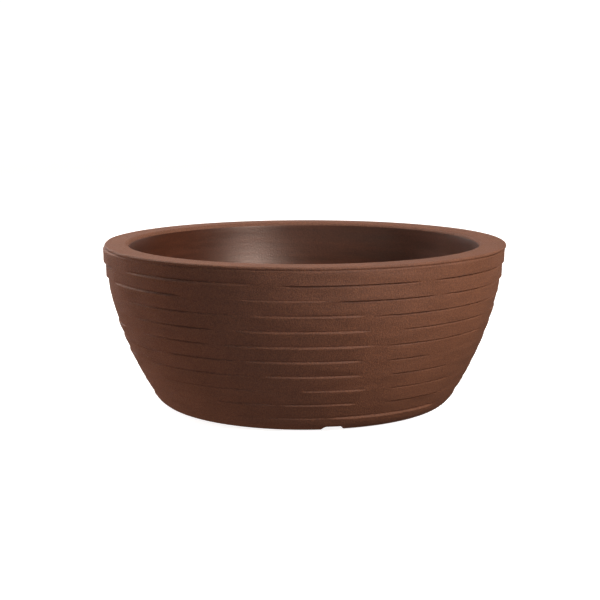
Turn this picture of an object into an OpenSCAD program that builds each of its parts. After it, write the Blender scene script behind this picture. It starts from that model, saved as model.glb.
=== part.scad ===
// Round bonsai bowl, moulded in one piece with a hollow double wall, a broad flat rim
// and a body of stacked ledges. Three push-in plugs close its drain holes from below,
// and a mesh screen lies over each hole inside the bowl.
// Millimetres. +Z is up and the origin is on the axis, in the plane the foot stands on.
// The front faces -Y.

/* [Bowl] */
// Radius of the wall's curve where it reaches the rim plane
rim_r = 200.4; // [165:0.1:245]
// Height from the foot to the top of the rim
body_h = 162.3; // [135:0.1:200]
// Radius of the wall's curve where it would reach the ground plane
heel_r = 142.5; // [115:0.5:170]
// Radius of the curve that the wall follows from heel to rim
belly_r = 318; // [280:1:420]
// Thickness of the whole double wall, which is also the width of the rim
wall_w = 25.5; // [20:0.5:32]
// Thickness of each moulded skin
skin_t = 4.2; // [3:0.1:5]

/* [Rounded edges] */
// Rounding of the rim's outer edge
rim_out_round = 2; // [1.5:0.5:5]
// Rounding of the rim's inner edge
rim_in_round = 4.5; // [2:0.5:6]
// Rounding between the foot and the outer wall
heel_round = 23; // [18:1:32]
// Rounding between the bowl's floor and its inner wall
bowl_round = 30; // [20:1:40]

/* [Ledges] */
// Height of the smooth band under the rim
rim_band_h = 16.8; // [12:0.2:22]
// Number of ledged bands below it
band_count = 10; // [6:1:12]
// Height of the groove between one band and the next
groove_h = 0.5; // [0.3:0.1:1]
// Depth of that groove below the wall's curve
groove_d = 2; // [1.6:0.1:2.4]
// How far each band is moulded off the axis
ledge_step = 1; // [0.4:0.1:1.4]
// Turn from one band's offset to the next
ledge_turn = 137; // [60:1:180]

/* [Foot and floor] */
// Width of the flat ring that the bowl stands on
foot_w = 20; // [16:0.5:26]
// Depth of the recess inside the foot ring
recess_h = 8; // [8:0.5:14]
// Thickness of the floor, where the two skins are fused
floor_t = 8; // [6:0.5:12]
// Width of each drainage notch in the foot ring
notch_w = 22; // [12:1:28]
// Height of each drainage notch
notch_h = 5.4; // [3:0.1:6]
// Angle of the first notch from the front, towards +X
notch_angle = 11; // [0:1:60]

/* [Drain holes and plugs] */
// Number of drain holes, plugs, screens and foot notches
drain_count = 3; // [3:1:4]
// Radius of a drain hole
drain_r = 12.5; // [9:0.5:15]
// Radius of the circle that the drain holes lie on
drain_ring_r = 65; // [58:1:78]
// Radial clearance of a plug's stem in its hole
plug_gap = 0.05; // [0.02:0.01:0.1]
// How far a plug's flange reaches past the hole
plug_flange_w = 3.5; // [2:0.5:5]
// Thickness of a plug's flange
plug_flange_t = 2.5; // [1.5:0.5:3]
// How far a plug's top stays below the bowl's floor
plug_top_gap = 0.4; // [0.2:0.1:1]
// Radius of the grip under a plug
grip_r = 6; // [4:0.5:9]
// Height of the grip under a plug
grip_h = 3; // [2:0.5:4]
// Radius of the hollow under a plug's stem, which lets it squeeze
plug_core_r = 8; // [5:0.5:8]
// Thickness of the top of a plug
plug_top_t = 3; // [2:0.5:4]

/* [Screens] */
// How far a screen reaches past its drain hole
screen_lap = 10; // [6:0.5:14]
// Thickness of a screen
screen_t = 1.6; // [1:0.1:2.5]
// Width of a screen's solid border
screen_border_w = 2.5; // [1.5:0.5:4]
// Width of a screen's strands
strand_w = 1.4; // [1:0.1:2]
// Distance from strand to strand
strand_pitch = 4.6; // [3.5:0.1:6]

/* [Tie holes] */
// Number of holes for the wire that ties the tree down
tie_count = 4; // [4:2:4]
// Radius of a tie hole
tie_r = 2.5; // [1.5:0.5:3]
// Radius of the circle that the tie holes lie on
tie_ring_r = 35; // [28:1:38]

/* [Vent plug] */
// Radius of the hole that vents the hollow wall
vent_r = 3.5; // [2.5:0.5:4]
// Radius of the vent plug's head
vent_head_r = 6; // [5:0.5:6.5]
// Thickness of the vent plug's head
vent_head_t = 2; // [1.5:0.5:2.5]
// How far the vent plug's stem stands out inside the wall
vent_stem_out = 2; // [1:0.5:4]
// Clearance around the vent plug's head and stem
vent_gap = 0.05; // [0.02:0.01:0.1]
// Depth by which the vent plug's head stays above the foot
vent_sink = 1; // [0.5:0.5:1.5]

/* [Hidden] */
$fn = 96;
arc_steps = 8;
cut = 1;

// The wall's curve is one arc through the heel and the rim, with its centre far inside.
chord_w = rim_r - heel_r;
chord = sqrt(chord_w * chord_w + body_h * body_h);
chord_gap = sqrt(belly_r * belly_r - chord * chord / 4);
centre_r = (rim_r + heel_r) / 2 - chord_gap * body_h / chord;
centre_z = body_h / 2 + chord_gap * chord_w / chord;

// Radius of the wall's curve at height z, moved inwards by inset
function wall_r(z, inset) = centre_r + sqrt(pow(belly_r - inset, 2) - pow(z - centre_z, 2));
// Angle at which a round centred at height z and inset inwards touches the wall's curve
function touch_angle(z, inset) = atan2(z - centre_z, wall_r(z, inset) - centre_r);
// Points of an arc about [r, z], from angle a to angle b
function arc(r, z, round, a, b) = [
    for (i = [0:arc_steps])
        let (t = a + (b - a) * i / arc_steps)
        [r + round * cos(t), z + round * sin(t)]
];
// Points of the wall's curve from height a to height b, moved inwards by inset
function wall_arc(a, b, inset) = [
    for (i = [0:arc_steps])
        let (z = a + (b - a) * i / arc_steps)
        [wall_r(z, inset), z]
];
// Height at which a round centred at height z and inset inwards touches the curve at depth
function touch_z(z, inset, depth) = centre_z + (belly_r - depth) * sin(touch_angle(z, inset));

floor_z = recess_h + floor_t;
band_h = (body_h - rim_band_h) / band_count;
rim_band_z = body_h - rim_band_h;
ledge_h = band_h - groove_h;

heel_c = wall_r(heel_round, heel_round);
heel_a = touch_angle(heel_round, heel_round);
foot_band_z = max(ledge_h, touch_z(heel_round, heel_round, 0) + groove_h);
bowl_cz = floor_z + bowl_round;
bowl_c = wall_r(bowl_cz, wall_w + bowl_round);
bowl_a = touch_angle(bowl_cz, wall_w + bowl_round);
out_cz = body_h - rim_out_round;
out_c = wall_r(out_cz, rim_out_round);
out_a = touch_angle(out_cz, rim_out_round);
in_cz = body_h - rim_in_round;
in_c = wall_r(in_cz, wall_w - rim_in_round);
in_a = touch_angle(in_cz, wall_w - rim_in_round);

foot_in_r = heel_c - foot_w;
foot_mid_r = heel_c - foot_w / 2;
drain_step = 360 / drain_count;
plug_stem_r = drain_r - plug_gap;
screen_r = drain_r + screen_lap;
strand_reach = ceil(screen_r / strand_pitch);
vent_angle = notch_angle + drain_step / 2;
vent_pocket_h = vent_sink + vent_head_t;
vent_boss_h = vent_pocket_h + skin_t;
vent_boss_r = vent_head_r + skin_t;

plug_nodes = [for (i = [1:drain_count]) str("drain_plug_", i)];
screen_nodes = [for (i = [1:drain_count]) str("drain_screen_", i)];

// Moves its children out to radius r, at an angle from the front towards +X
module from_front(angle, r) {
    rotate([0, 0, angle - 90]) translate([r, 0, 0]) children();
}

// Repeats its children at every drain hole
module at_drains(r) {
    for (i = [1:drain_count]) from_front(i * drain_step, r) children();
}

// Lowest band: flat foot, rounded heel and the start of the wall
module foot_band() {
    rotate_extrude() polygon(concat(
        [[0, 0]],
        arc(heel_c, heel_round, heel_round, -90, heel_a),
        [[wall_r(foot_band_z, 0), foot_band_z], [0, foot_band_z]]
    ));
}

// Body behind the bands, whose surface is the bottom of the grooves
module groove_body() {
    rotate_extrude() polygon(concat(
        [[0, foot_band_z - cut]],
        wall_arc(foot_band_z - cut, rim_band_z + cut, groove_d),
        [[0, rim_band_z + cut]]
    ));
}

// One ledged band, moulded a little off the axis so that its edges step in and out
module ledge_band(i) {
    z = i * band_h;
    rotate([0, 0, i * ledge_turn]) translate([ledge_step, 0, z])
        cylinder(h = ledge_h, r1 = wall_r(z, 0), r2 = wall_r(z + ledge_h, 0));
}

// Smooth band under the rim, with the rim's outer edge rounded
module rim_band() {
    rotate_extrude() polygon(concat(
        [[0, rim_band_z]],
        wall_arc(rim_band_z, touch_z(out_cz, rim_out_round, 0), 0),
        arc(out_c, out_cz, rim_out_round, out_a, 90),
        [[0, body_h]]
    ));
}

// Space inside the bowl, from its floor out past the rounded inner edge of the rim
module bowl_space() {
    wall_from = touch_z(bowl_cz, wall_w + bowl_round, wall_w);
    wall_to = touch_z(in_cz, wall_w - rim_in_round, wall_w);
    rotate_extrude() polygon(concat(
        [[0, floor_z]],
        arc(bowl_c, bowl_cz, bowl_round, -90, bowl_a),
        wall_arc(wall_from, wall_to, wall_w),
        arc(in_c, in_cz, rim_in_round, 180 + in_a, 90),
        [[in_c, body_h + cut], [0, body_h + cut]]
    ));
}

// Air space between the two skins of the wall
module wall_hollow() {
    side_r = foot_in_r + skin_t;
    outer_from = touch_z(heel_round, heel_round, skin_t);
    inner_from = touch_z(bowl_cz, wall_w + bowl_round, wall_w - skin_t);
    side_a = -acos((side_r - bowl_c) / (bowl_round + skin_t));
    rotate_extrude() polygon(concat(
        [[side_r, skin_t]],
        arc(heel_c, heel_round, heel_round - skin_t, -90, heel_a),
        wall_arc(outer_from, body_h - skin_t, skin_t),
        wall_arc(body_h - skin_t, inner_from, wall_w - skin_t),
        arc(bowl_c, bowl_cz, bowl_round + skin_t, bowl_a, side_a)
    ));
}

// Drainage notch across the foot ring, grown by extra on its sides and top
module foot_notch(extra) {
    width = notch_w + 2 * extra;
    from_front(0, foot_in_r - skin_t)
        translate([0, -width / 2, -cut])
        cube([foot_w + heel_round, width, cut + notch_h + extra]);
}

// Shell of the bowl: two skins, fused at the floor
module pot_shell() {
    color("#5c3b2c") difference() {
        union() {
            foot_band();
            groove_body();
            for (i = [1:band_count - 1]) ledge_band(i);
            rim_band();
        }
        bowl_space();
        difference() {
            wall_hollow();
            for (i = [1:drain_count]) rotate([0, 0, notch_angle + i * drain_step]) foot_notch(skin_t);
            from_front(vent_angle, foot_mid_r) cylinder(h = vent_boss_h, r = vent_boss_r);
        }
        translate([0, 0, -cut]) cylinder(h = recess_h + cut, r = foot_in_r);
        for (i = [1:drain_count]) rotate([0, 0, notch_angle + i * drain_step]) foot_notch(0);
        at_drains(drain_ring_r) cylinder(h = floor_z + cut, r = drain_r);
        for (i = [1:tie_count]) from_front((i - 0.5) * 360 / tie_count, tie_ring_r)
            cylinder(h = floor_z + cut, r = tie_r);
        from_front(vent_angle, foot_mid_r) {
            translate([0, 0, -cut]) cylinder(h = cut + vent_pocket_h, r = vent_head_r + vent_gap);
            cylinder(h = vent_boss_h + cut, r = vent_r + vent_gap);
        }
    }
}

// Plug that closes the hole through which the hollow wall was vented
module vent_plug() {
    color("#33241d") from_front(vent_angle, foot_mid_r) translate([0, 0, vent_sink]) {
        cylinder(h = vent_head_t, r = vent_head_r);
        cylinder(h = vent_head_t + skin_t + vent_stem_out, r = vent_r);
    }
}

// Rubber plug pushed into drain hole i from below
module drain_plug(i) {
    top_z = floor_z - plug_top_gap;
    flange_z = recess_h - plug_flange_t;
    color("#2a2725") from_front(i * drain_step, drain_ring_r) difference() {
        union() {
            translate([0, 0, flange_z]) cylinder(h = top_z - flange_z, r = plug_stem_r);
            translate([0, 0, flange_z]) cylinder(h = plug_flange_t, r = drain_r + plug_flange_w);
            translate([0, 0, flange_z - grip_h]) cylinder(h = top_z - flange_z, r = grip_r);
        }
        difference() {
            translate([0, 0, flange_z - cut]) cylinder(h = top_z - plug_top_t - flange_z + cut, r = plug_core_r);
            translate([0, 0, flange_z - grip_h - cut]) cylinder(h = body_h, r = grip_r);
        }
    }
}

// Mesh screen that lies on the floor over drain hole i
module drain_screen(i) {
    color("#232a26") from_front(i * drain_step, drain_ring_r) translate([0, 0, floor_z]) {
        difference() {
            cylinder(h = screen_t, r = screen_r);
            translate([0, 0, -cut]) cylinder(h = screen_t + 2 * cut, r = screen_r - screen_border_w);
        }
        intersection() {
            cylinder(h = screen_t, r = screen_r - screen_border_w / 2);
            for (turn = [0, 90]) rotate([0, 0, turn])
                for (k = [-strand_reach:strand_reach])
                    translate([k * strand_pitch - strand_w / 2, -screen_r, 0])
                        cube([strand_w, 2 * screen_r, screen_t]);
        }
    }
}

pot_shell();
vent_plug();
for (i = [1:drain_count]) {
    drain_plug(i);
    drain_screen(i);
}
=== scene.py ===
import math
import random

import bmesh
import bpy
import numpy as np
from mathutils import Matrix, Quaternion, Vector


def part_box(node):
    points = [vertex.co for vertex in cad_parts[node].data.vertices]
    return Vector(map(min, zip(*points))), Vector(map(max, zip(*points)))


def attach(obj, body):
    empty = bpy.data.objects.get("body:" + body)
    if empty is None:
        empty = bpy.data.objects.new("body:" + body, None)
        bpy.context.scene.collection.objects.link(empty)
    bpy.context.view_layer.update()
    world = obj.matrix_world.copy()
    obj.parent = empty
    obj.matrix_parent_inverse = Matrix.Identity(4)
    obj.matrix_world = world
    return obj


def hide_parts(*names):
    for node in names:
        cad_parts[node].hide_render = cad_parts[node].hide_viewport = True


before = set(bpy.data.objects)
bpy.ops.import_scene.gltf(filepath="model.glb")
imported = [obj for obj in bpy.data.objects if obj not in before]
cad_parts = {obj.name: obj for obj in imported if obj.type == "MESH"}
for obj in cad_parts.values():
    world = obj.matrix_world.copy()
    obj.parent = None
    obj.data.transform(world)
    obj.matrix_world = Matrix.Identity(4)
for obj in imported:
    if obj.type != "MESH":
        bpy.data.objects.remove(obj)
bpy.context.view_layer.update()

# A wide bonsai bowl, rotationally moulded in brown polyethylene with a hollow double wall.
# Its mould was sandblasted outside, so the wall and rim are dull and gritty, and polished
# inside, so the bowl is smooth and takes a soft shine. The wall is a stack of bands whose
# edges step in and out round the bowl. Rubber plugs close the drain holes from below, and
# a woven plastic screen lies over each hole inside. All lengths are in metres.

MM = 0.001
SEED = 7

# ---------------------------------------------------------------- sizes, as in the CAD model
BODY_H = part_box("pot_shell")[1].z
RIM_R = 200.4 * MM
HEEL_R = 142.5 * MM
BELLY_R = 318 * MM
WALL_W = 25.5 * MM
RIM_OUT_ROUND = 2 * MM
RIM_IN_ROUND = 4.5 * MM
HEEL_ROUND = 23 * MM
BOWL_ROUND = 30 * MM
RIM_BAND_H = 16.8 * MM
BAND_COUNT = 10
FOOT_W = 20 * MM
RECESS_H = 8 * MM
NOTCH_W = 22 * MM
NOTCH_H = 5.4 * MM
NOTCH_ANGLE = 11
DRAIN_COUNT = 3
DRAIN_R = 12.5 * MM
TIE_COUNT = 4
TIE_R = 2.5 * MM
TIE_RING_R = 35 * MM
FLOOR_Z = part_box("drain_screen_1")[0].z
BAND_H = (BODY_H - RIM_BAND_H) / BAND_COUNT

# ---------------------------------------------------------------- how finely it is modelled
SIDES = 600
ROUND_STEPS = 10
SMALL_ROUND_STEPS = 4
HEEL_STEPS = 16
BOWL_STEPS = 14
UNDER_STEPS = 12
FOOT_STEPS = 5
RIM_STEPS = 6
INSIDE_STEPS = 22
# Rows of the mesh lie at these distances to either side of each ledge, closest at the ledge
LEDGE_ROWS_MM = (0.2, 0.45, 0.7, 1.0, 1.3, 1.7, 2.2, 3.0, 4.4)
# More rows at these depths under the rim, for its lip, and in the plain band below it
LIP_ROWS_MM = (2.3, 2.6, 2.9, 3.2, 3.5, 3.8, 4.1, 4.5, 5.0, 5.7, 6.6, 8.0)
RIM_BAND_ROWS_MM = (6, 8, 10, 12)
# Rows stop this far short of the heel's and the rim's rounds
HEEL_ROW_GAP = 0.4 * MM
RIM_ROW_GAP = 0.3 * MM

# ---------------------------------------------------------------- the wall's curve
# One arc runs from heel to rim, with its centre far on the other side of the axis.
chord_w = RIM_R - HEEL_R
chord = math.hypot(chord_w, BODY_H)
chord_gap = math.sqrt(BELLY_R ** 2 - chord ** 2 / 4)
CENTRE_R = (RIM_R + HEEL_R) / 2 - chord_gap * BODY_H / chord
CENTRE_Z = BODY_H / 2 + chord_gap * chord_w / chord


def wall_r(z, inset=0.0):
    """Radius of the wall's curve at height z, moved inwards by inset."""
    return CENTRE_R + math.sqrt((BELLY_R - inset) ** 2 - (z - CENTRE_Z) ** 2)


def touch_angle(z, inset):
    """Angle at which a round centred at height z and inset inwards touches the curve."""
    return math.atan2(z - CENTRE_Z, wall_r(z, inset) - CENTRE_R)


def arc(r, z, radius, start, stop, steps=ROUND_STEPS):
    """Points of a round about (r, z), from angle start to angle stop, in radians."""
    turns = [start + (stop - start) * i / steps for i in range(steps + 1)]
    return [(r + radius * math.cos(t), z + radius * math.sin(t)) for t in turns]


# ---------------------------------------------------------------- ledges
# Half the height over which a step turns: fixed under an overhang, growing with the step
# where the lower band stands proud.
LEDGE_SOFT = 0.45 * MM
SLOPE_SOFT = 0.3 * MM
SLOPE_SHARE = 0.3
# A crease runs beside each step, on its hollow side. It is as deep as a share of the step and
# a little more, and deeper under an overhang.
PINCH_SHARE = 0.12
PINCH_D = 0.12 * MM
OVERHANG_SHARE = 0.3
OVERHANG_D = 0.3 * MM
PINCH_H = 0.6 * MM
PINCH_LIFT = 0.9 * MM
PINCH_FULL = 0.6 * MM
# Height, number and lengths of the long waves that the hand-finished mould left
WAVE_D = 0.04 * MM
WAVE_COUNT = 26
WAVE_LOBES = (2, 17)
WAVE_PITCH_MM = (9, 34)
# Crease under the lip that runs round the rim's outer edge
LIP_Z = 3.3 * MM
LIP_H = 0.8 * MM
LIP_D = 0.6 * MM
# Share of half a step's length over which it eases in or out
EASE = 0.3

# Each ledge is where one band meets the next. Going round the bowl, the lower band stands
# proud of the upper one (a plus step) or hides under it (a minus step), and in between the
# two run flush. Each entry is (from, to, step): degrees from the front towards +X, and mm.
FRONT_LEDGES = [
    [(-112, -66, -2.1), (-58, -13, 2.0), (-7, 33, -1.2), (35, 102, -1.8)],
    [(-110, -74, -2.0), (-68, -34, 1.8), (-18, 7, 0.6), (8, 38, -1.3), (39, 100, -1.7)],
    [(-59, -16, 1.0), (-15, 17, 1.3), (18, 84, -1.3)],
    [(-57, -24, 1.0), (-22, 19, 1.4), (27, 64, -0.7), (70, 100, 0.8)],
    [(-100, -66, 0.9), (-54, -27, 0.9), (-26, 21, 1.5), (22, 67, -0.7), (72, 98, 0.5)],
    [(-100, -70, 0.9), (-63, -47, -0.9), (-46, -19, 0.8), (-20, 18, 1.4), (25, 40, -0.7),
     (70, 98, 0.5)],
    [(-100, -66, 1.0), (-59, -14, 0.7), (-14, 18, 1.2), (26, 50, -0.9), (72, 98, 0.4)],
    [(-100, -66, 0.5), (-54, -12, 0.5), (-2, 20, 0.8), (27, 56, -0.5), (70, 98, 0.6)],
    [(-100, -66, 0.7), (-31, -9, 0.8), (-9, 18, 1.0), (27, 56, -0.9), (70, 98, 0.6)],
    [(-100, -66, 1.0), (-14, 8, 0.6), (6, 56, 1.4), (72, 98, 0.7)],
]
# The lip at the rim's edge stands in or out in the same way.
LIP_STEPS = [(-98, -60, -1.2), (48, 132, 1.3)]
# Round the back the ledges are drawn by chance, in degrees and mm: the first one's start, a
# ledge's length, its step, and the gap to the next.
BACK_FROM, BACK_TO = 104, 246
BACK_START = (0, 12)
BACK_LENGTH = (26, 48)
BACK_STEP = (0.7, 1.6)
BACK_GAP = (2, 16)
BACK_LEAST = 24


def back_ledges(dice):
    """Ledges round the back, of the same lengths and steps as those in front."""
    made = []
    at = BACK_FROM + dice.uniform(*BACK_START)
    while at < BACK_TO - BACK_LEAST:
        length = dice.uniform(*BACK_LENGTH)
        step = dice.uniform(*BACK_STEP) * dice.choice((-1, 1, 1))
        made.append((at, min(at + length, BACK_TO), step))
        at += length + dice.uniform(*BACK_GAP)
    return made


def smooth(x):
    """Eases from 0 to 1 as x goes from 0 to 1."""
    x = np.clip(x, 0.0, 1.0)
    return x * x * (3 - 2 * x)


def ramp(x):
    """Goes straighter from 0 to 1 than smooth does, with only its corners eased."""
    return 0.6 * np.clip(x, 0.0, 1.0) + 0.4 * smooth(x)


def step_round(turn, arcs):
    """Sum of the steps in arcs at each angle of turn; each step eases in and out at its ends."""
    total = np.zeros_like(turn)
    for start, stop, step in arcs:
        half = (stop - start) / 2
        away = np.abs((turn - (start + stop) / 2 + 180) % 360 - 180)
        total += step * MM * smooth((half - away) / (EASE * half))
    return total


def ledge_steps(turn):
    """Step of every ledge, in metres, at each angle of turn (degrees from the front)."""
    dice = random.Random(SEED)
    return [step_round(turn, front + back_ledges(dice)) for front in FRONT_LEDGES]


def relief(turn, depth):
    """How far the wall stands off its plain curve at each depth below the rim and each turn."""
    steps = ledge_steps(turn)
    edges = [RIM_BAND_H + i * BAND_H for i in range(BAND_COUNT)]
    flush = np.zeros_like(turn)
    tops = [flush] + [0.5 * s for s in steps]
    bottoms = [-0.5 * s for s in steps] + [flush]
    band_from = [0.0] + edges
    band_to = edges + [BODY_H]
    off = np.zeros((len(depth), len(turn)))
    for row, h in enumerate(depth):
        band = sum(h >= e for e in edges)
        t = (h - band_from[band]) / (band_to[band] - band_from[band])
        off[row] = tops[band] * (1 - t) + bottoms[band] * t
        for i, edge in enumerate(edges):
            if abs(h - edge) > BAND_H / 2:
                continue
            soft = np.where(steps[i] > 0, SLOPE_SOFT + SLOPE_SHARE * steps[i], LEDGE_SOFT)
            into = ramp((h - edge + soft) / (2 * soft))
            above_t = min(1, (h - band_from[i]) / (edge - band_from[i]))
            above = tops[i] * (1 - above_t) + bottoms[i] * above_t
            below_t = max(0, (h - edge) / (band_to[i + 1] - edge))
            below = tops[i + 1] * (1 - below_t) + bottoms[i + 1] * below_t
            off[row] = above * (1 - into) + below * into
            size = np.abs(steps[i])
            share = np.where(steps[i] < 0, OVERHANG_SHARE, PINCH_SHARE)
            least = np.where(steps[i] < 0, OVERHANG_D, PINCH_D) * smooth(size / PINCH_FULL)
            lift = PINCH_LIFT * np.sign(steps[i])
            off[row] -= (share * size + least) * np.exp(-(((h - edge + lift) / PINCH_H) ** 2))
    return off


def unevenness(turn, depth):
    """Long shallow waves left by the hand-finished mould: tenths of a millimetre."""
    dice = random.Random(SEED + 1)
    rad = np.radians(turn)[None, :]
    h = np.array(depth)[:, None]
    total = np.zeros((len(depth), len(turn)))
    for _ in range(WAVE_COUNT):
        lobes = dice.randint(*WAVE_LOBES)
        pitch = dice.uniform(*WAVE_PITCH_MM) * MM
        phase = dice.uniform(0, 2 * math.pi)
        lean = dice.uniform(-1.2, 1.2)
        total += np.cos(lobes * rad + phase + lean) * np.cos(2 * math.pi * h / pitch + phase * 3)
    return total * WAVE_D


# ---------------------------------------------------------------- small mesh tools
def direction(turn):
    """Unit vector, level, at an angle from the front towards +X."""
    a = math.radians(turn)
    return Vector((math.sin(a), -math.cos(a), 0))


def new_object(name, mesh):
    piece = bpy.data.objects.new(name, mesh)
    bpy.context.scene.collection.objects.link(piece)
    return piece


def spin_mesh(name, outline, sides, centre=(0, 0), offsets=None):
    """Closed mesh turned from an outline of (radius, height) points, poles at both ends.

    offsets, if given, is a (rows, sides, 2) array added to each point's radius and height."""
    turn = np.arange(sides) * 2 * math.pi / sides
    rows = np.array(outline)
    r = np.repeat(rows[:, :1], sides, axis=1)
    z = np.repeat(rows[:, 1:2], sides, axis=1)
    if offsets is not None:
        r = r + offsets[:, :, 0]
        z = z + offsets[:, :, 1]
    x = centre[0] + r * np.sin(turn)
    y = centre[1] - r * np.cos(turn)
    verts = np.stack([x, y, z], axis=2).reshape(-1, 3).tolist()
    first = len(verts)
    verts += [(centre[0], centre[1], outline[0][1]), (centre[0], centre[1], outline[-1][1])]
    faces = []
    for k in range(len(outline) - 1):
        for s in range(sides):
            n = (s + 1) % sides
            faces.append((k * sides + s, k * sides + n, (k + 1) * sides + n, (k + 1) * sides + s))
    last = (len(outline) - 1) * sides
    for s in range(sides):
        n = (s + 1) % sides
        faces.append((first, n, s))
        faces.append((first + 1, last + s, last + n))
    mesh = bpy.data.meshes.new(name)
    mesh.from_pydata(verts, [], faces)
    mesh.validate()
    return mesh


def finish_mesh(piece, sharp_deg):
    """Shades a piece smooth, but keeps edges sharper than sharp_deg crisp."""
    mesh = piece.data
    mesh.polygons.foreach_set("use_smooth", [True] * len(mesh.polygons))
    mesh.set_sharp_from_angle(angle=math.radians(sharp_deg))
    mesh.update()


def apply_modifiers(piece):
    """Turns the piece's modified shape into its own mesh."""
    graph = bpy.context.evaluated_depsgraph_get()
    made = bpy.data.meshes.new_from_object(piece.evaluated_get(graph))
    piece.modifiers.clear()
    old = piece.data
    piece.data = made
    bpy.data.meshes.remove(old)


def join_cutters(name, meshes, material):
    """One cutting object out of several closed meshes."""
    bm = bmesh.new()
    for mesh in meshes:
        bm.from_mesh(mesh)
    bmesh.ops.recalc_face_normals(bm, faces=bm.faces)
    joined = bpy.data.meshes.new(name)
    bm.to_mesh(joined)
    bm.free()
    joined.materials.append(material)
    return new_object(name, joined)


# ---------------------------------------------------------------- materials
def srgb(code):
    """Linear colour of an sRGB hex code such as #6a4433."""
    parts = [int(code[i:i + 2], 16) / 255 for i in (1, 3, 5)]
    linear = [p / 12.92 if p <= 0.04045 else ((p + 0.055) / 1.055) ** 2.4 for p in parts]
    return (*linear, 1.0)


def new_material(name):
    material = bpy.data.materials.new(name)
    material.use_nodes = True
    material.node_tree.nodes.clear()
    return material, material.node_tree


def add(tree, kind, feeds=None, **settings):
    """Adds a node. feeds maps an input's name or number to a value or to another socket."""
    node = tree.nodes.new(kind)
    for key, value in settings.items():
        setattr(node, key, value)
    for key, value in (feeds or {}).items():
        if isinstance(value, bpy.types.NodeSocket):
            tree.links.new(value, node.inputs[key])
        else:
            node.inputs[key].default_value = value
    return node


def gritty_polyethylene():
    """Polyethylene, rotationally moulded against a sandblasted mould.

    The eye sees a dull chocolate brown, finely speckled light and dark like sandpaper,
    with faint level streaks, and no clear reflection."""
    material, tree = new_material("polyethylene_sandblasted_mould")
    place = add(tree, "ShaderNodeTexCoord").outputs["Object"]
    # grit of about 1.2 mm, coarser than a real sandblasted grain so that it shows from afar
    grit = add(tree, "ShaderNodeTexNoise", {"Vector": place, "Scale": 1 / 0.0012, "Detail": 2.0,
                                            "Roughness": 0.7}).outputs["Fac"]
    fine = add(tree, "ShaderNodeTexNoise", {"Vector": place, "Scale": 1 / 0.0009, "Detail": 2.0,
                                            "Roughness": 0.6}).outputs["Fac"]
    blotch = add(tree, "ShaderNodeTexNoise", {"Vector": place, "Scale": 1 / 0.03, "Detail": 3.0,
                                              "Roughness": 0.55}).outputs["Fac"]
    # level streaks, 40 mm long and 4 mm high
    level = add(tree, "ShaderNodeMapping", {"Vector": place, "Scale": (25, 25, 250)}).outputs[0]
    streak = add(tree, "ShaderNodeTexNoise", {"Vector": level, "Scale": 1.0, "Detail": 3.0,
                                              "Roughness": 0.6}).outputs["Fac"]
    speckle = add(tree, "ShaderNodeValToRGB", {"Fac": grit})
    speckle.color_ramp.elements[0].position = 0.33
    speckle.color_ramp.elements[0].color = srgb("#4a2c1d")
    speckle.color_ramp.elements[1].position = 0.68
    speckle.color_ramp.elements[1].color = srgb("#643e29")
    middle = speckle.color_ramp.elements.new(0.5)
    middle.color = srgb("#563423")
    tone = add(tree, "ShaderNodeMapRange", {"Value": streak, "From Min": 0.3, "From Max": 0.7,
                                            "To Min": 0.93, "To Max": 1.06}).outputs[0]
    patch = add(tree, "ShaderNodeMapRange", {"Value": blotch, "From Min": 0.3, "From Max": 0.7,
                                             "To Min": 0.95, "To Max": 1.05}).outputs[0]
    toned = add(tree, "ShaderNodeMath", {0: tone, 1: patch}, operation="MULTIPLY").outputs[0]
    colour = add(tree, "ShaderNodeVectorMath", {0: speckle.outputs["Color"], "Scale": toned},
                 operation="SCALE").outputs[0]
    rough = add(tree, "ShaderNodeMapRange", {"Value": fine, "From Min": 0.3, "From Max": 0.7,
                                             "To Min": 0.62, "To Max": 0.82}).outputs[0]
    height = add(tree, "ShaderNodeMath", {0: grit, 1: fine}, operation="ADD").outputs[0]
    bump = add(tree, "ShaderNodeBump", {"Height": height, "Strength": 0.6,
                                        "Distance": 0.0007}).outputs[0]
    shader = add(tree, "ShaderNodeBsdfPrincipled", {"Base Color": colour, "Roughness": rough,
                                                    "Normal": bump, "IOR": 1.5,
                                                    "Specular IOR Level": 0.3})
    add(tree, "ShaderNodeOutputMaterial", {"Surface": shader.outputs["BSDF"]})
    return material


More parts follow.
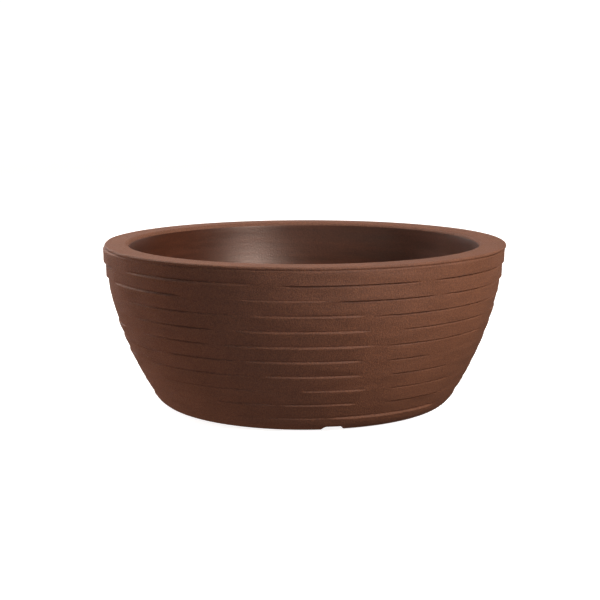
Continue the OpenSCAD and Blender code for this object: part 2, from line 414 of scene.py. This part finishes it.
def satin_polyethylene():
    """The same polyethylene, moulded against a polished mould, its brown darkened as painted shade.

    The eye sees a smooth skin with a broad soft shine, and faint level flow streaks in it. Its
    brown is set far darker than the outside's, as painted shade for the inside of the bowl."""
    material, tree = new_material("polyethylene_polished_mould_painted_shade")
    place = add(tree, "ShaderNodeTexCoord").outputs["Object"]
    level = add(tree, "ShaderNodeMapping", {"Vector": place, "Scale": (12, 12, 160)}).outputs[0]
    streak = add(tree, "ShaderNodeTexNoise", {"Vector": level, "Scale": 1.0, "Detail": 4.0,
                                              "Roughness": 0.6}).outputs["Fac"]
    grain = add(tree, "ShaderNodeTexNoise", {"Vector": place, "Scale": 1 / 0.0016, "Detail": 2.0,
                                             "Roughness": 0.5}).outputs["Fac"]
    # painted shade: these browns are much darker than the outside's so that the inside of the bowl
    # looks shaded
    blend = add(tree, "ShaderNodeValToRGB", {"Fac": streak})
    blend.color_ramp.elements[0].position = 0.3
    blend.color_ramp.elements[0].color = srgb("#2c140a")
    blend.color_ramp.elements[1].position = 0.72
    blend.color_ramp.elements[1].color = srgb("#3c1d10")
    tone = add(tree, "ShaderNodeMapRange", {"Value": grain, "From Min": 0.3, "From Max": 0.7,
                                            "To Min": 0.76, "To Max": 1.24}).outputs[0]
    colour = add(tree, "ShaderNodeVectorMath", {0: blend.outputs["Color"], "Scale": tone},
                 operation="SCALE").outputs[0]
    rough = add(tree, "ShaderNodeMapRange", {"Value": streak, "From Min": 0.3, "From Max": 0.7,
                                             "To Min": 0.36, "To Max": 0.43}).outputs[0]
    height = add(tree, "ShaderNodeMath", {0: grain, 1: streak}, operation="ADD").outputs[0]
    bump = add(tree, "ShaderNodeBump", {"Height": height, "Strength": 0.3,
                                        "Distance": 0.0004}).outputs[0]
    shader = add(tree, "ShaderNodeBsdfPrincipled", {"Base Color": colour,
                                                    "Roughness": rough, "Normal": bump,
                                                    "IOR": 1.5, "Specular IOR Level": 0.5,
                                                    "Specular Tint": srgb("#ffe4d4")})
    add(tree, "ShaderNodeOutputMaterial", {"Surface": shader.outputs["BSDF"]})
    return material


def dull_rubber():
    """Black natural rubber, pressed in a turned steel mould.

    The eye sees a dull dark grey, dusty with bloom, with a very soft broad sheen."""
    material, tree = new_material("rubber_pressed")
    place = add(tree, "ShaderNodeTexCoord").outputs["Object"]
    bloom = add(tree, "ShaderNodeTexNoise", {"Vector": place, "Scale": 1 / 0.006, "Detail": 5.0,
                                             "Roughness": 0.65}).outputs["Fac"]
    pores = add(tree, "ShaderNodeTexNoise", {"Vector": place, "Scale": 1 / 0.0007, "Detail": 2.0,
                                             "Roughness": 0.6}).outputs["Fac"]
    blend = add(tree, "ShaderNodeValToRGB", {"Fac": bloom})
    blend.color_ramp.elements[0].position = 0.35
    blend.color_ramp.elements[0].color = srgb("#262423")
    blend.color_ramp.elements[1].position = 0.7
    blend.color_ramp.elements[1].color = srgb("#3a3734")
    rough = add(tree, "ShaderNodeMapRange", {"Value": bloom, "From Min": 0.3, "From Max": 0.7,
                                             "To Min": 0.6, "To Max": 0.8}).outputs[0]
    bump = add(tree, "ShaderNodeBump", {"Height": pores, "Strength": 0.3,
                                        "Distance": 0.0002}).outputs[0]
    shader = add(tree, "ShaderNodeBsdfPrincipled", {"Base Color": blend.outputs["Color"],
                                                    "Roughness": rough, "Normal": bump,
                                                    "IOR": 1.52})
    add(tree, "ShaderNodeOutputMaterial", {"Surface": shader.outputs["BSDF"]})
    return material


def screen_polyethylene():
    """Dark green-black polyethylene, drawn into strands and woven into drainage mesh.

    The eye sees thin round strands with a satin shine, paler where soil has rubbed them."""
    material, tree = new_material("polyethylene_drawn_strand")
    place = add(tree, "ShaderNodeTexCoord").outputs["Object"]
    dust = add(tree, "ShaderNodeTexNoise", {"Vector": place, "Scale": 1 / 0.008, "Detail": 4.0,
                                            "Roughness": 0.6}).outputs["Fac"]
    drawn = add(tree, "ShaderNodeTexNoise", {"Vector": place, "Scale": 1 / 0.0006, "Detail": 2.0,
                                             "Roughness": 0.5}).outputs["Fac"]
    blend = add(tree, "ShaderNodeValToRGB", {"Fac": dust})
    blend.color_ramp.elements[0].position = 0.35
    blend.color_ramp.elements[0].color = srgb("#1c231f")
    blend.color_ramp.elements[1].position = 0.7
    blend.color_ramp.elements[1].color = srgb("#303832")
    rough = add(tree, "ShaderNodeMapRange", {"Value": drawn, "From Min": 0.3, "From Max": 0.7,
                                             "To Min": 0.38, "To Max": 0.55}).outputs[0]
    bump = add(tree, "ShaderNodeBump", {"Height": drawn, "Strength": 0.2,
                                        "Distance": 0.0001}).outputs[0]
    shader = add(tree, "ShaderNodeBsdfPrincipled", {"Base Color": blend.outputs["Color"],
                                                    "Roughness": rough, "Normal": bump,
                                                    "IOR": 1.51})
    add(tree, "ShaderNodeOutputMaterial", {"Surface": shader.outputs["BSDF"]})
    return material


def vent_polyethylene():
    """Darker polyethylene, injection moulded.

    The eye sees a smooth dark brown button with a satin shine and a faint mould texture."""
    material, tree = new_material("polyethylene_injection_moulded")
    place = add(tree, "ShaderNodeTexCoord").outputs["Object"]
    mottle = add(tree, "ShaderNodeTexNoise", {"Vector": place, "Scale": 1 / 0.004, "Detail": 3.0,
                                              "Roughness": 0.5}).outputs["Fac"]
    blend = add(tree, "ShaderNodeValToRGB", {"Fac": mottle})
    blend.color_ramp.elements[0].position = 0.35
    blend.color_ramp.elements[0].color = srgb("#2f211a")
    blend.color_ramp.elements[1].position = 0.7
    blend.color_ramp.elements[1].color = srgb("#3b2a21")
    rough = add(tree, "ShaderNodeMapRange", {"Value": mottle, "From Min": 0.3, "From Max": 0.7,
                                             "To Min": 0.42, "To Max": 0.55}).outputs[0]
    bump = add(tree, "ShaderNodeBump", {"Height": mottle, "Strength": 0.2,
                                        "Distance": 0.0002}).outputs[0]
    shader = add(tree, "ShaderNodeBsdfPrincipled", {"Base Color": blend.outputs["Color"],
                                                    "Roughness": rough, "Normal": bump, "IOR": 1.5})
    add(tree, "ShaderNodeOutputMaterial", {"Surface": shader.outputs["BSDF"]})
    return material


# Brightness that the studio's paper has of its own, from lamps behind it
PAPER_GLOW = 0.9


def studio_paper():
    """Pale matt paper, lit from behind, that the studio's floor and backdrop are made of."""
    material, tree = new_material("paper_matt")
    place = add(tree, "ShaderNodeTexCoord").outputs["Object"]
    fibre = add(tree, "ShaderNodeTexNoise", {"Vector": place, "Scale": 1 / 0.025,
                                             "Detail": 4.0}).outputs["Fac"]
    blend = add(tree, "ShaderNodeValToRGB", {"Fac": fibre})
    blend.color_ramp.elements[0].color = srgb("#c4c3c1")
    blend.color_ramp.elements[1].color = srgb("#c8c7c5")
    shader = add(tree, "ShaderNodeBsdfPrincipled", {"Base Color": blend.outputs["Color"],
                                                    "Roughness": 0.9, "Specular IOR Level": 0.1,
                                                    "Emission Color": (1, 1, 1, 1),
                                                    "Emission Strength": PAPER_GLOW})
    add(tree, "ShaderNodeOutputMaterial", {"Surface": shader.outputs["BSDF"]})
    return material


GRITTY = gritty_polyethylene()
SATIN = satin_polyethylene()
RUBBER = dull_rubber()
STRAND = screen_polyethylene()
VENT = vent_polyethylene()


# ---------------------------------------------------------------- the bowl
# Rounds on the foot ring's inner edges, and the softened edges of the holes
FOOT_EDGE_ROUND = 1.2 * MM
DRAIN_SOFT = 0.8 * MM
TIE_SOFT = 0.6 * MM
VENT_SOFT = 0.3 * MM
VENT_POCKET_H = 3 * MM
VENT_POCKET_GAP = 0.1 * MM
# Share of a notch's height that its round takes, and how far the notch runs in past the ring
NOTCH_ROUND = 0.8
NOTCH_PAST = 4 * MM
BOWL_SHARP_DEG = 42
# The relief dies away over these heights at the rim and at the foot
RIM_FADE = 6 * MM
FOOT_FADE = 9 * MM


def wall_heights(low, high):
    """Heights between low and high at which the wall has a row of vertices, from low to high."""
    away = [0.0, BAND_H / 2 / MM] + [side * d for d in LEDGE_ROWS_MM for side in (-1, 1)]
    edges = [BODY_H - RIM_BAND_H - i * BAND_H for i in range(BAND_COUNT)]
    heights = {round(edge - d * MM, 6) for edge in edges for d in away}
    heights |= {round(edges[0] + d * MM, 6) for d in RIM_BAND_ROWS_MM}
    heights |= {round(BODY_H - d * MM, 6) for d in LIP_ROWS_MM}
    return [z for z in sorted(heights) if low < z < high]


def bowl_outline():
    """Outline of the whole moulding, from under the floor round the foot, wall and rim to the
    floor inside. Returns its points, the wall's first row and end row, and the first inside
    row."""
    edge = FOOT_EDGE_ROUND
    heel_c = wall_r(HEEL_ROUND, HEEL_ROUND)
    heel_a = touch_angle(HEEL_ROUND, HEEL_ROUND)
    foot_in = heel_c - FOOT_W
    under = [(foot_in * k / UNDER_STEPS, RECESS_H) for k in range(1, UNDER_STEPS)]
    under += arc(foot_in - edge, RECESS_H - edge, edge, math.pi / 2, 0, SMALL_ROUND_STEPS)
    under += arc(foot_in + edge, edge, edge, math.pi, 1.5 * math.pi, SMALL_ROUND_STEPS)
    under += [(foot_in + FOOT_W * k / FOOT_STEPS, 0.0) for k in range(1, FOOT_STEPS)]
    heel = arc(heel_c, HEEL_ROUND, HEEL_ROUND, -math.pi / 2, heel_a, HEEL_STEPS)
    out_z = BODY_H - RIM_OUT_ROUND
    out_c = wall_r(out_z, RIM_OUT_ROUND)
    out_a = touch_angle(out_z, RIM_OUT_ROUND)
    wall_low = heel[-1][1]
    wall_high = CENTRE_Z + BELLY_R * math.sin(out_a)
    heights = wall_heights(wall_low + HEEL_ROW_GAP, wall_high - RIM_ROW_GAP)
    wall = [(wall_r(z), z) for z in heights]
    rim = arc(out_c, out_z, RIM_OUT_ROUND, out_a, math.pi / 2)
    in_z = BODY_H - RIM_IN_ROUND
    in_c = wall_r(in_z, WALL_W - RIM_IN_ROUND)
    in_a = touch_angle(in_z, WALL_W - RIM_IN_ROUND)
    flat = [(out_c + (in_c - out_c) * k / RIM_STEPS, BODY_H) for k in range(1, RIM_STEPS)]
    lip = arc(in_c, in_z, RIM_IN_ROUND, math.pi / 2, math.pi + in_a)
    bowl_z = FLOOR_Z + BOWL_ROUND
    bowl_c = wall_r(bowl_z, WALL_W + BOWL_ROUND)
    bowl_a = touch_angle(bowl_z, WALL_W + BOWL_ROUND)
    inside_high = lip[-1][1]
    inside_low = CENTRE_Z + (BELLY_R - WALL_W) * math.sin(bowl_a)
    inside_heights = np.linspace(inside_high, inside_low, INSIDE_STEPS)[1:-1]
    inside = [(wall_r(z, WALL_W), z) for z in inside_heights]
    bowl = arc(bowl_c, bowl_z, BOWL_ROUND, bowl_a, -math.pi / 2, BOWL_STEPS)
    bottom = [(bowl_c * k / BOWL_STEPS, FLOOR_Z) for k in range(BOWL_STEPS - 1, 0, -1)]
    outline = under + heel + wall + rim + flat + lip + inside + bowl + bottom
    wall_rows = (len(under), len(under) + len(heel) + len(wall) + len(rim))
    inside_row = len(under + heel + wall + rim + flat) + ROUND_STEPS - 1
    return outline, wall_rows, inside_row


def notch_cutter(turn):
    """Rounded slot across the foot ring that lets water run out from under the bowl."""
    mesh = bpy.data.meshes.new("notch_cutter")
    bm = bmesh.new()
    made = bmesh.ops.create_cube(bm, size=1.0)
    reach = FOOT_W + HEEL_ROUND
    heel_c = wall_r(HEEL_ROUND, HEEL_ROUND)
    bmesh.ops.scale(bm, vec=(reach, NOTCH_W, 2 * NOTCH_H), verts=made["verts"])
    top = []
    for edge in bm.edges:
        a, b = edge.verts[0].co, edge.verts[1].co
        if a.z > 0 and b.z > 0 and abs(a.x - b.x) > reach / 2:
            top.append(edge)
    bmesh.ops.bevel(bm, geom=top, offset=NOTCH_H * NOTCH_ROUND, segments=6, profile=0.5,
                    affect="EDGES")
    out = direction(turn)
    middle = heel_c - FOOT_W + reach / 2 - NOTCH_PAST
    for v in bm.verts:
        x, y, z = v.co
        side = Vector((-out.y, out.x, 0))
        v.co = out * (middle + x) + side * y + Vector((0, 0, z))
    bm.to_mesh(mesh)
    bm.free()
    return mesh


def hole_cutter(x, y, radius, low, high, soften, sides=64):
    """Round cutter from low to high with its ends flared, which leaves softened hole edges."""
    past = 1 * MM
    flare = [(soften + past, -past), (soften, 0.0), (0.3 * soften, 0.3 * soften), (0.0, soften)]
    outline = [(radius + wider, low + up) for wider, up in flare]
    outline += [(radius + wider, high - up) for wider, up in reversed(flare)]
    return spin_mesh("hole_cutter", outline, sides, centre=(x, y))


def make_bowl():
    outline, wall_rows, inside_row = bowl_outline()
    turn = np.arange(SIDES) * 360 / SIDES
    turn = (turn + 180) % 360 - 180
    depth = np.array([BODY_H - z for r, z in outline[wall_rows[0]:wall_rows[1]]])
    stand = relief(turn, depth) + unevenness(turn, depth)
    # the relief dies away into the flat foot and into the rim's rounded edge
    fade = smooth(np.minimum(depth / RIM_FADE, (BODY_H - depth) / FOOT_FADE))
    stand *= fade[:, None]
    stand -= (LIP_D * np.exp(-(((depth - LIP_Z) / LIP_H) ** 2)))[:, None]
    lip = smooth((LIP_Z + LIP_H - depth) / (2 * LIP_H))
    stand += lip[:, None] * step_round(turn, LIP_STEPS)[None, :]
    offsets = np.zeros((len(outline), SIDES, 2))
    for row in range(*wall_rows):
        r, z = outline[row]
        lean = math.atan2(z - CENTRE_Z, r - CENTRE_R)
        offsets[row, :, 0] = stand[row - wall_rows[0]] * math.cos(lean)
        offsets[row, :, 1] = stand[row - wall_rows[0]] * math.sin(lean)
    mesh = spin_mesh("bowl", outline, SIDES, offsets=offsets)
    mesh.materials.append(GRITTY)
    mesh.materials.append(SATIN)
    quads = (len(outline) - 1) * SIDES
    slots = [1 if (k < quads and k // SIDES >= inside_row) else 0 for k in range(quads)]
    slots += [0, 1] * SIDES
    mesh.polygons.foreach_set("material_index", slots)
    piece = new_object("bowl", mesh)
    cutters = [notch_cutter(NOTCH_ANGLE + k * 360 / DRAIN_COUNT) for k in range(DRAIN_COUNT)]
    for k in range(DRAIN_COUNT):
        low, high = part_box(f"drain_screen_{k + 1}")
        x, y = (low.x + high.x) / 2, (low.y + high.y) / 2
        cutters.append(hole_cutter(x, y, DRAIN_R, RECESS_H, FLOOR_Z, DRAIN_SOFT))
    for k in range(TIE_COUNT):
        at = direction((k + 0.5) * 360 / TIE_COUNT) * TIE_RING_R
        cutters.append(hole_cutter(at.x, at.y, TIE_R, RECESS_H, FLOOR_Z, TIE_SOFT, 32))
    low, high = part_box("vent_plug")
    x, y = (low.x + high.x) / 2, (low.y + high.y) / 2
    pocket_r = (high.x - low.x) / 2 + VENT_POCKET_GAP
    cutters.append(hole_cutter(x, y, pocket_r, 0, VENT_POCKET_H, VENT_SOFT, 48))
    tool = join_cutters("cutters", cutters, GRITTY)
    cut = piece.modifiers.new("holes", "BOOLEAN")
    cut.operation = "DIFFERENCE"
    cut.object = tool
    cut.solver = "MANIFOLD"
    apply_modifiers(piece)
    bpy.data.objects.remove(tool)
    finish_mesh(piece, BOWL_SHARP_DEG)
    return piece


bowl = make_bowl()
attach(bowl, "pot")
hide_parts("pot_shell")


# ---------------------------------------------------------------- vent plug
VENT_STEM_R = 3.5 * MM
VENT_HEAD_H = 2 * MM
VENT_NECK = 0.4 * MM
VENT_EDGE = 0.7 * MM
VENT_SIDES = 48
SMALL_SHARP_DEG = 50


def make_vent_cap():
    """Button sunk in the foot ring, with a rounded edge and a shallow dimple in its face."""
    low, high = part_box("vent_plug")
    x, y = (low.x + high.x) / 2, (low.y + high.y) / 2
    head = (high.x - low.x) / 2
    neck_z = low.z + VENT_HEAD_H
    outline = [(head * 0.25, low.z + 0.25 * MM)]
    outline += [(head * 0.3, low.z + 0.05 * MM), (head * 0.5, low.z)]
    outline += arc(head - VENT_EDGE, low.z + VENT_EDGE, VENT_EDGE, -math.pi / 2, 0, 5)
    outline += [(head, neck_z), (VENT_STEM_R + VENT_NECK, neck_z)]
    outline += [(VENT_STEM_R, neck_z + VENT_NECK)]
    outline += arc(VENT_STEM_R - VENT_EDGE, high.z - VENT_EDGE, VENT_EDGE, 0, math.pi / 2, 4)
    piece = new_object("vent_cap", spin_mesh("vent_cap", outline, VENT_SIDES, centre=(x, y)))
    piece.data.materials.append(VENT)
    finish_mesh(piece, SMALL_SHARP_DEG)
    return piece


vent_cap = make_vent_cap()
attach(vent_cap, "pot")
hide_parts("vent_plug")


# ---------------------------------------------------------------- drain plugs
PLUG_STEM_GAP = 0.05 * MM
PLUG_FLANGE_H = 2.5 * MM
PLUG_GRIP_R = 6 * MM
PLUG_EDGE = 0.8 * MM
PLUG_GROOVES = (2.6 * MM, 5.0 * MM)
PLUG_GROOVE_D = 0.4 * MM
PLUG_DISH_D = 0.3 * MM
PLUG_SIDES = 72


def make_plug(number):
    """Rubber stopper: a stem with two sealing grooves and a dished top, a flange and a grip."""
    low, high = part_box(f"drain_plug_{number}")
    x, y = (low.x + high.x) / 2, (low.y + high.y) / 2
    flange = (high.x - low.x) / 2
    stem = DRAIN_R - PLUG_STEM_GAP
    flange_low, flange_high = RECESS_H - PLUG_FLANGE_H, RECESS_H
    grip = PLUG_GRIP_R
    soft = PLUG_EDGE
    outline = [(grip * 0.35, low.z + 0.6 * MM), (grip * 0.5, low.z + 0.1 * MM)]
    outline += arc(grip - soft, low.z + soft, soft, -math.pi / 2, 0, 5)
    outline += [(grip - 0.5 * MM, low.z + 1.8 * MM), (grip - 0.2 * MM, flange_low - 0.4 * MM)]
    outline += [(grip + 0.3 * MM, flange_low), (flange - soft - 1 * MM, flange_low)]
    outline += arc(flange - soft, flange_low + soft, soft, -math.pi / 2, 0, 5)
    outline += arc(flange - 0.4 * MM, flange_high - 0.4 * MM, 0.4 * MM, 0, math.pi / 2, 3)
    outline += [(stem + 0.1 * MM, flange_high), (stem, flange_high + 0.3 * MM)]
    for groove in PLUG_GROOVES:
        mid = flange_high + groove
        outline += [(stem, mid - 0.5 * MM), (stem - PLUG_GROOVE_D, mid - 0.2 * MM),
                    (stem - PLUG_GROOVE_D, mid + 0.2 * MM), (stem, mid + 0.5 * MM)]
    outline += arc(stem - soft, high.z - soft, soft, 0, math.pi / 2, 5)
    outline += [(stem * 0.62, high.z), (stem * 0.58, high.z - PLUG_DISH_D)]
    outline += [(stem * 0.3, high.z - PLUG_DISH_D)]
    mesh = spin_mesh(f"plug_{number}", outline, PLUG_SIDES, centre=(x, y))
    piece = new_object(f"plug_{number}", mesh)
    piece.data.materials.append(RUBBER)
    finish_mesh(piece, SMALL_SHARP_DEG)
    return piece


for number in range(1, DRAIN_COUNT + 1):
    plug = make_plug(number)
    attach(plug, f"drain_plug_{number}")
    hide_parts(f"drain_plug_{number}")


# ---------------------------------------------------------------- drain screens
STRAND_PITCH = 2.8 * MM
STRAND_R = 0.38 * MM
BORDER_W = 2.5 * MM
BORDER_EDGE = 0.5 * MM
SCREEN_SIDES = 72
SCREEN_SHARP_DEG = 60


def strand_points(offset, reach, phase):
    """Centre line of one woven strand, rising and falling over the strands it crosses."""
    count = max(4, int(2 * reach / (STRAND_PITCH / 4)))
    points = []
    for k in range(count + 1):
        along = -reach + 2 * reach * k / count
        wave = math.cos(math.pi * along / STRAND_PITCH + phase) * STRAND_R
        points.append((along, offset, wave))
    return points


def add_tube(bm, points, radius, sides=6):
    """Adds a closed round tube along points to bm."""
    rings = []
    for k, p in enumerate(points):
        before = Vector(points[max(k - 1, 0)])
        after = Vector(points[min(k + 1, len(points) - 1)])
        ahead = (after - before).normalized()
        across = ahead.cross(Vector((0, 0, 1))).normalized()
        up = across.cross(ahead)
        ring = []
        for s in range(sides):
            t = 2 * math.pi * s / sides
            outward = across * math.cos(t) + up * math.sin(t)
            ring.append(bm.verts.new(Vector(p) + outward * radius))
        rings.append(ring)
    for a, b in zip(rings, rings[1:]):
        for s in range(sides):
            n = (s + 1) % sides
            bm.faces.new((a[s], a[n], b[n], b[s]))
    bm.faces.new(rings[0][::-1])
    bm.faces.new(rings[-1])


def make_screen(number):
    """Disc of woven mesh with a moulded border."""
    low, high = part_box(f"drain_screen_{number}")
    centre = (low + high) / 2
    radius = (high.x - low.x) / 2
    thick = high.z - low.z
    bm = bmesh.new()
    inner = radius - BORDER_W / 2
    lines = int(inner / STRAND_PITCH)
    for k in range(-lines, lines + 1):
        offset = k * STRAND_PITCH
        reach = math.sqrt(inner ** 2 - offset ** 2)
        warp = strand_points(offset, reach, math.pi * (k % 2))
        weft = strand_points(offset, reach, math.pi * ((k + 1) % 2))
        add_tube(bm, warp, STRAND_R)
        add_tube(bm, [(y, x, z) for x, y, z in weft], STRAND_R)
    soft = BORDER_EDGE
    section = arc(radius - soft, -thick / 2 + soft, soft, -math.pi / 2, 0, 4)
    section += arc(radius - soft, thick / 2 - soft, soft, 0, math.pi / 2, 4)
    section += arc(radius - BORDER_W + soft, thick / 2 - soft, soft, math.pi / 2, math.pi, 4)
    section += arc(radius - BORDER_W + soft, -thick / 2 + soft, soft, math.pi, 1.5 * math.pi, 4)
    rings = []
    for s in range(SCREEN_SIDES):
        t = 2 * math.pi * s / SCREEN_SIDES
        rings.append([bm.verts.new((r * math.cos(t), r * math.sin(t), z)) for r, z in section])
    for s in range(SCREEN_SIDES):
        a, b = rings[s], rings[(s + 1) % SCREEN_SIDES]
        for k in range(len(section)):
            n = (k + 1) % len(section)
            bm.faces.new((a[k], b[k], b[n], a[n]))
    bmesh.ops.recalc_face_normals(bm, faces=bm.faces)
    bmesh.ops.translate(bm, verts=bm.verts, vec=centre)
    mesh = bpy.data.meshes.new(f"screen_{number}")
    bm.to_mesh(mesh)
    bm.free()
    mesh.materials.append(STRAND)
    piece = new_object(f"screen_{number}", mesh)
    finish_mesh(piece, SCREEN_SHARP_DEG)
    return piece


for number in range(1, DRAIN_COUNT + 1):
    screen = make_screen(number)
    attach(screen, f"drain_screen_{number}")
    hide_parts(f"drain_screen_{number}")


# ---------------------------------------------------------------- studio
STAGE_R = 5.0
STAGE_ROUND = 1.6
STAGE_H = 1.7
STAGE_SIDES = 96
STAGE_SHARP_DEG = 80


def make_stage():
    """Pale floor that curves up all round into a wall."""
    outline = [(STAGE_R * 0.02, 0.0), (STAGE_R * 0.3, 0.0), (STAGE_R - STAGE_ROUND, 0.0)]
    outline += arc(STAGE_R - STAGE_ROUND, STAGE_ROUND, STAGE_ROUND, -math.pi / 2, 0, 16)[1:]
    outline += [(STAGE_R, STAGE_H)]
    bm = bmesh.new()
    middle = bm.verts.new((0, 0, 0))
    rings = []
    for r, z in outline:
        turns = [2 * math.pi * s / STAGE_SIDES for s in range(STAGE_SIDES)]
        rings.append([bm.verts.new((r * math.cos(t), r * math.sin(t), z)) for t in turns])
    for s in range(STAGE_SIDES):
        n = (s + 1) % STAGE_SIDES
        bm.faces.new((middle, rings[0][s], rings[0][n]))
        for a, b in zip(rings, rings[1:]):
            bm.faces.new((a[s], b[s], b[n], a[n]))
    bmesh.ops.recalc_face_normals(bm, faces=bm.faces)
    mesh = bpy.data.meshes.new("studio_floor")
    bm.to_mesh(mesh)
    bm.free()
    mesh.materials.append(studio_paper())
    piece = new_object("studio_floor", mesh)
    finish_mesh(piece, STAGE_SHARP_DEG)
    return piece


stage = make_stage()
# the floor throws no light on the bowl and takes no part in its shadows
stage.visible_diffuse = False
stage.visible_glossy = False
stage.visible_shadow = False


def add_softbox(name, turn, rise, distance, width, height, watts, matt=True, gloss=True,
                colour="#ffffff"):
    """Area light that faces the bowl from an angle to the right of the front and a rise.

    matt and gloss say whether it lights dull surfaces and whether it shows in the shine."""
    a, e = math.radians(turn), math.radians(rise)
    at = Vector((math.sin(a) * math.cos(e), -math.cos(a) * math.cos(e), math.sin(e))) * distance
    at += Vector((0, 0, BODY_H / 2))
    data = bpy.data.lights.new(name, "AREA")
    data.shape = "RECTANGLE"
    data.size = width
    data.size_y = height
    data.energy = watts
    data.color = srgb(colour)[:3]
    light = bpy.data.objects.new(name, data)
    light.location = at
    light.rotation_euler = (Vector((0, 0, BODY_H / 2)) - at).to_track_quat("-Z", "Y").to_euler()
    light.visible_camera = False
    light.visible_diffuse = matt
    light.visible_glossy = gloss
    bpy.context.scene.collection.objects.link(light)


# degrees right of the front, degrees up, metres away, metres wide, metres high, watts
add_softbox("key_softbox", 58, 30, 1.9, 0.8, 0.8, 68, gloss=False)
add_softbox("strip_softbox", 40, 30, 1.9, 0.5, 0.8, 42, matt=False)
add_softbox("top_softbox", -50, 86, 1.8, 0.9, 0.9, 15)
add_softbox("left_top_softbox", -134, 40, 1.9, 0.9, 0.7, 34, gloss=False, colour="#fff0e6")
add_softbox("right_top_softbox", 60, 68, 1.9, 0.6, 0.6, 12, matt=False)
add_softbox("left_edge_softbox", -128, 32, 1.9, 0.9, 0.6, 30, matt=False, colour="#ffe8dc")
add_softbox("left_softbox", -118, 8, 1.9, 0.6, 0.8, 25, gloss=False, colour="#f6f4ff")
add_softbox("front_paper", -30, 9, 2.2, 3.4, 0.3, 8, matt=False)
add_softbox("back_paper", 180, 14, 1.9, 1.8, 0.5, 2.6, matt=False)
add_softbox("left_back_paper", -148, 4, 1.9, 1.0, 0.5, 3, matt=False)
add_softbox("right_back_paper", 148, 4, 1.9, 1.0, 0.5, 2, matt=False)
add_softbox("floor_bounce", -106, -26, 1.9, 0.8, 0.8, 20, gloss=False, colour="#eef0ff")
add_softbox("front_bounce", -30, -42, 1.9, 1.2, 0.6, 10, colour="#fff0ea")

AIR_COLOUR = "#ffd6c0"
AIR_STRENGTH = 0.17

world = bpy.data.worlds.new("studio_air")
world.use_nodes = True
world.node_tree.nodes["Background"].inputs["Color"].default_value = srgb(AIR_COLOUR)
world.node_tree.nodes["Background"].inputs["Strength"].default_value = AIR_STRENGTH
bpy.context.scene.world = world
bpy.context.scene.view_settings.view_transform = "Standard"

# ---------------------------------------------------------------- camera
CAMERA_BACK = 1.539
CAMERA_OVER_RIM = 0.1815
CAMERA_LEFT = 0.0040
CAMERA_TILT = 8.93
CAMERA_ROLL = -0.10
CAMERA_LENS = 92.56
CAMERA_SENSOR = 36

camera_data = bpy.data.cameras.new("camera")
camera_data.lens = CAMERA_LENS
camera_data.sensor_width = CAMERA_SENSOR
camera = bpy.data.objects.new("camera", camera_data)
camera.location = (-CAMERA_LEFT, -CAMERA_BACK, BODY_H + CAMERA_OVER_RIM)
pitch = Quaternion((1, 0, 0), math.radians(90 - CAMERA_TILT))
roll = Quaternion((0, 0, 1), math.radians(CAMERA_ROLL))
camera.rotation_euler = (pitch @ roll).to_euler()
bpy.context.scene.collection.objects.link(camera)
bpy.context.scene.camera = camera
